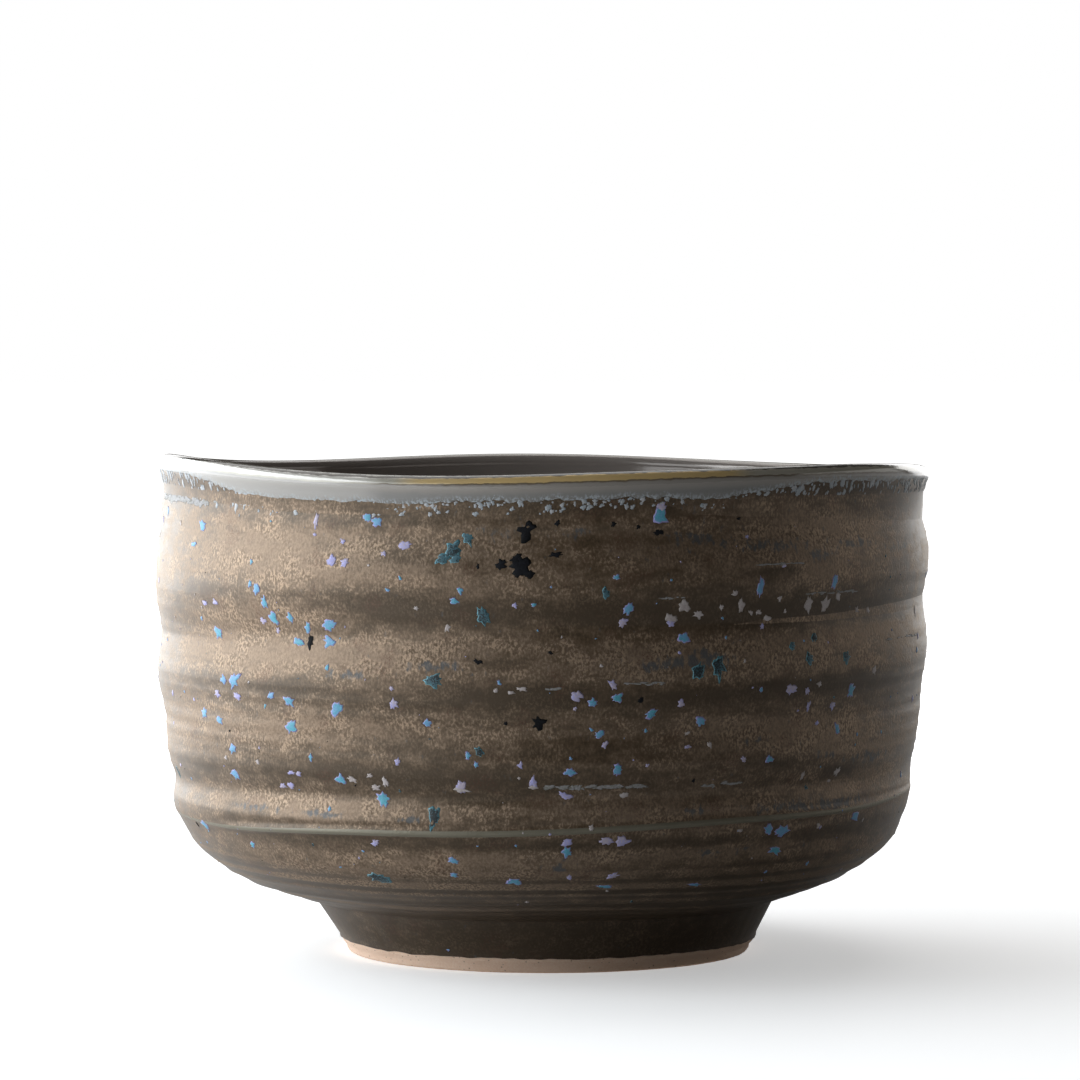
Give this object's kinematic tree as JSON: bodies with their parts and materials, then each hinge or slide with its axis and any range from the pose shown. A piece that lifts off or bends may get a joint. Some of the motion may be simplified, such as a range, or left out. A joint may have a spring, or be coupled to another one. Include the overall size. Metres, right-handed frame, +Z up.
{
  "type": "matcha bowl",
  "caption": "Wide round thrown tea bowl with a wavy lip, throwing rings, a hip line and a foot ring, in dark bronze glaze.",
  "frame": {"origin": "on the table, under the middle of the foot ring", "axes": "+Z up along the bowl's turning axis; -Y is the front, the side the picture shows"},
  "size_m": [0.12, 0.12, 0.0771],
  "materials": {
    "clay": "unglazed fired stoneware, hidden under the glaze",
    "bare_clay": "bare peach-coloured fired clay at the bottom of the foot, matt and slightly sandy",
    "bronze_glaze": "satin metallic brown glaze, pinkish bronze on the throwing rings and dark olive between them, with blue, teal and black crystals",
    "lip_glaze": "glossy blue-grey glaze that breaks to a thin amber line at the lip, with a ragged lower edge",
    "inner_glaze": "glossy dark grey-brown glaze with lighter grey runs",
    "foot_glaze": "glossy dark brown glaze inside the foot"
  },
  "bodies": {
    "root": {"clay_body": "clay", "foot_ring": "bare_clay", "outer_glaze": "bronze_glaze", "lip_glaze": "lip_glaze", "inner_glaze": "inner_glaze", "foot_recess_glaze": "foot_glaze"}
  },
  "joints": []
}
